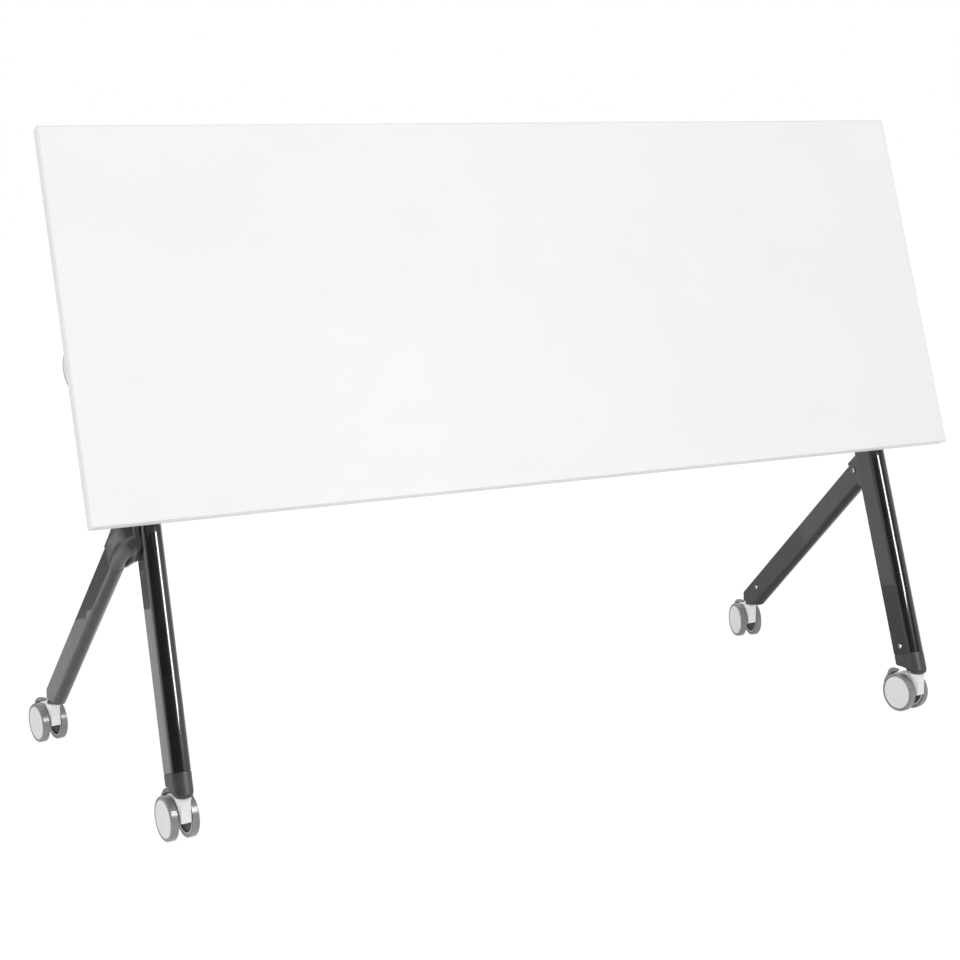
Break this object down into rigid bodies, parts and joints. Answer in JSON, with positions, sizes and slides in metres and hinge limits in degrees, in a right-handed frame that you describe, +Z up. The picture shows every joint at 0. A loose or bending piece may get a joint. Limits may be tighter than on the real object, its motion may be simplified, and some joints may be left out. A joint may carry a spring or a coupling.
{
  "type": "flip top training table",
  "caption": "Rectangular white table top flipped up on splayed black Y-shaped leg frames with lockable twin-wheel casters; it turns down flat and latches for use.",
  "frame": {"origin": "on the floor, under the middle of the whole part's box as stored, with the top flipped up", "axes": "+X along the table top's length, to the right of a viewer who faces the flipped work surface; -Y towards that viewer; +Z up"},
  "size_m": [1.803, 0.7968, 1.2172],
  "materials": {
    "white_laminate": "white melamine faced board, satin",
    "white_band": "white edge band, satin",
    "black_leg": "black powder coat, semi gloss, on extruded aluminium",
    "cast_grey": "charcoal coated casting, satin",
    "foot_plastic": "charcoal moulded nylon, matt",
    "steel": "zinc plated steel",
    "screw_steel": "bright plated socket screw",
    "beam_black": "black powder coat on steel tube",
    "bracket_black": "black powder coat on steel plate",
    "paddle_grey": "light grey moulded plastic",
    "tyre_grey": "mid grey polyurethane tread",
    "hub_grey": "light grey nylon",
    "hood_white": "near white nylon",
    "pedal_grey": "dark grey moulded plastic"
  },
  "bodies": {
    "frame": {"front_leg_right": "black_leg", "front_foot_cap_right": "foot_plastic", "rear_leg_right": "black_leg", "rear_foot_plug_right": "foot_plastic", "leg_head_right": "cast_grey", "pivot_pin_right": "steel", "screw_front_foot_right": "screw_steel", "screw_rear_foot_right": "screw_steel", "screw_knuckle_right": "screw_steel", "front_leg_left": "black_leg", "front_foot_cap_left": "foot_plastic", "rear_leg_left": "black_leg", "rear_foot_plug_left": "foot_plastic", "leg_head_left": "cast_grey", "pivot_pin_left": "steel", "screw_front_foot_left": "screw_steel", "screw_rear_foot_left": "screw_steel", "screw_knuckle_left": "screw_steel", "cross_beam": "beam_black", "caster_stem_front_left": "steel", "caster_stem_rear_left": "steel", "caster_stem_front_right": "steel", "caster_stem_rear_right": "steel"},
    "top": {"tabletop_board": "white_laminate", "edge_band_front": "white_band", "edge_band_rear": "white_band", "edge_band_left": "white_band", "edge_band_right": "white_band", "top_bracket_right": "bracket_black", "top_bracket_left": "bracket_black"},
    "latch": {"latch_shaft": "steel", "release_paddle": "paddle_grey"},
    "caster_front_left": {"caster_hood_front_left": "hood_white", "caster_axle_front_left": "steel"},
    "wheel_front_left_a": {"tyre_front_left_a": "tyre_grey", "wheel_hub_front_left_a": "hub_grey"},
    "wheel_front_left_b": {"tyre_front_left_b": "tyre_grey", "wheel_hub_front_left_b": "hub_grey"},
    "brake_front_left": {"brake_pedal_front_left": "pedal_grey"},
    "caster_rear_left": {"caster_hood_rear_left": "hood_white", "caster_axle_rear_left": "steel"},
    "wheel_rear_left_a": {"tyre_rear_left_a": "tyre_grey", "wheel_hub_rear_left_a": "hub_grey"},
    "wheel_rear_left_b": {"tyre_rear_left_b": "tyre_grey", "wheel_hub_rear_left_b": "hub_grey"},
    "brake_rear_left": {"brake_pedal_rear_left": "pedal_grey"},
    "caster_front_right": {"caster_hood_front_right": "hood_white", "caster_axle_front_right": "steel"},
    "wheel_front_right_a": {"tyre_front_right_a": "tyre_grey", "wheel_hub_front_right_a": "hub_grey"},
    "wheel_front_right_b": {"tyre_front_right_b": "tyre_grey", "wheel_hub_front_right_b": "hub_grey"},
    "brake_front_right": {"brake_pedal_front_right": "pedal_grey"},
    "caster_rear_right": {"caster_hood_rear_right": "hood_white", "caster_axle_rear_right": "steel"},
    "wheel_rear_right_a": {"tyre_rear_right_a": "tyre_grey", "wheel_hub_rear_right_a": "hub_grey"},
    "wheel_rear_right_b": {"tyre_rear_right_b": "tyre_grey", "wheel_hub_rear_right_b": "hub_grey"},
    "brake_rear_right": {"brake_pedal_rear_right": "pedal_grey"}
  },
  "joints": [
    {"name": "top_flip", "type": "hinge", "parent": "frame", "child": "top", "pos_m": [0, -0.18355, 0.645], "axis": [-1, 0, 0], "range_deg": [0, 71.1]},
    {"name": "latch_release", "type": "hinge", "parent": "top", "child": "latch", "pos_m": [0, -0.18037, 0.80246], "axis": [1, 0, 0], "range_deg": [0, 20], "stiffness_Nm_per_rad": 1.5, "springref_deg": -17.19},
    {"name": "swivel_front_left", "type": "hinge", "parent": "frame", "child": "caster_front_left", "pos_m": [-0.7835, -0.37095, 0.086], "axis": [0, 0, 1], "continuous": true},
    {"name": "spin_front_left_a", "type": "hinge", "parent": "caster_front_left", "child": "wheel_front_left_a", "pos_m": [-0.78674, -0.34012, 0.03951], "axis": [0.9945, 0.1045, 0], "continuous": true},
    {"name": "spin_front_left_b", "type": "hinge", "parent": "caster_front_left", "child": "wheel_front_left_b", "pos_m": [-0.78674, -0.34012, 0.03951], "axis": [0.9945, 0.1045, 0], "continuous": true},
    {"name": "brake_front_left", "type": "hinge", "parent": "caster_front_left", "child": "brake_front_left", "pos_m": [-0.79138, -0.29593, 0.05141], "axis": [0.9945, 0.1045, 0], "range_deg": [0, 4]},
    {"name": "swivel_rear_left", "type": "hinge", "parent": "frame", "child": "caster_rear_left", "pos_m": [-0.8445, 0.31605, 0.086], "axis": [0, 0, 1], "continuous": true},
    {"name": "spin_rear_left_a", "type": "hinge", "parent": "caster_rear_left", "child": "wheel_rear_left_a", "pos_m": [-0.84988, 0.34658, 0.03951], "axis": [0.9848, 0.1736, 0], "continuous": true},
    {"name": "spin_rear_left_b", "type": "hinge", "parent": "caster_rear_left", "child": "wheel_rear_left_b", "pos_m": [-0.84988, 0.34658, 0.03951], "axis": [0.9848, 0.1736, 0], "continuous": true},
    {"name": "brake_rear_left", "type": "hinge", "parent": "caster_rear_left", "child": "brake_rear_left", "pos_m": [-0.8576, 0.39034, 0.05141], "axis": [0.9848, 0.1736, 0], "range_deg": [0, 4]},
    {"name": "swivel_front_right", "type": "hinge", "parent": "frame", "child": "caster_front_right", "pos_m": [0.7855, -0.37495, 0.086], "axis": [0, 0, 1], "continuous": true},
    {"name": "spin_front_right_a", "type": "hinge", "parent": "caster_front_right", "child": "wheel_front_right_a", "pos_m": [0.78065, -0.34433, 0.03951], "axis": [0.9877, 0.1564, 0], "continuous": true},
    {"name": "spin_front_right_b", "type": "hinge", "parent": "caster_front_right", "child": "wheel_front_right_b", "pos_m": [0.78065, -0.34433, 0.03951], "axis": [0.9877, 0.1564, 0], "continuous": true},
    {"name": "brake_front_right", "type": "hinge", "parent": "caster_front_right", "child": "brake_front_right", "pos_m": [0.7737, -0.30044, 0.05141], "axis": [0.9877, 0.1564, 0], "range_deg": [0, 4]},
    {"name": "swivel_rear_right", "type": "hinge", "parent": "frame", "child": "caster_rear_right", "pos_m": [0.8445, 0.31605, 0.086], "axis": [0, 0, 1], "continuous": true},
    {"name": "spin_rear_right_a", "type": "hinge", "parent": "caster_rear_right", "child": "wheel_rear_right_a", "pos_m": [0.84988, 0.34658, 0.03951], "axis": [0.9848, -0.1736, 0], "continuous": true},
    {"name": "spin_rear_right_b", "type": "hinge", "parent": "caster_rear_right", "child": "wheel_rear_right_b", "pos_m": [0.84988, 0.34658, 0.03951], "axis": [0.9848, -0.1736, 0], "continuous": true},
    {"name": "brake_rear_right", "type": "hinge", "parent": "caster_rear_right", "child": "brake_rear_right", "pos_m": [0.8576, 0.39034, 0.05141], "axis": [0.9848, -0.1736, 0], "range_deg": [0, 4]}
  ]
}
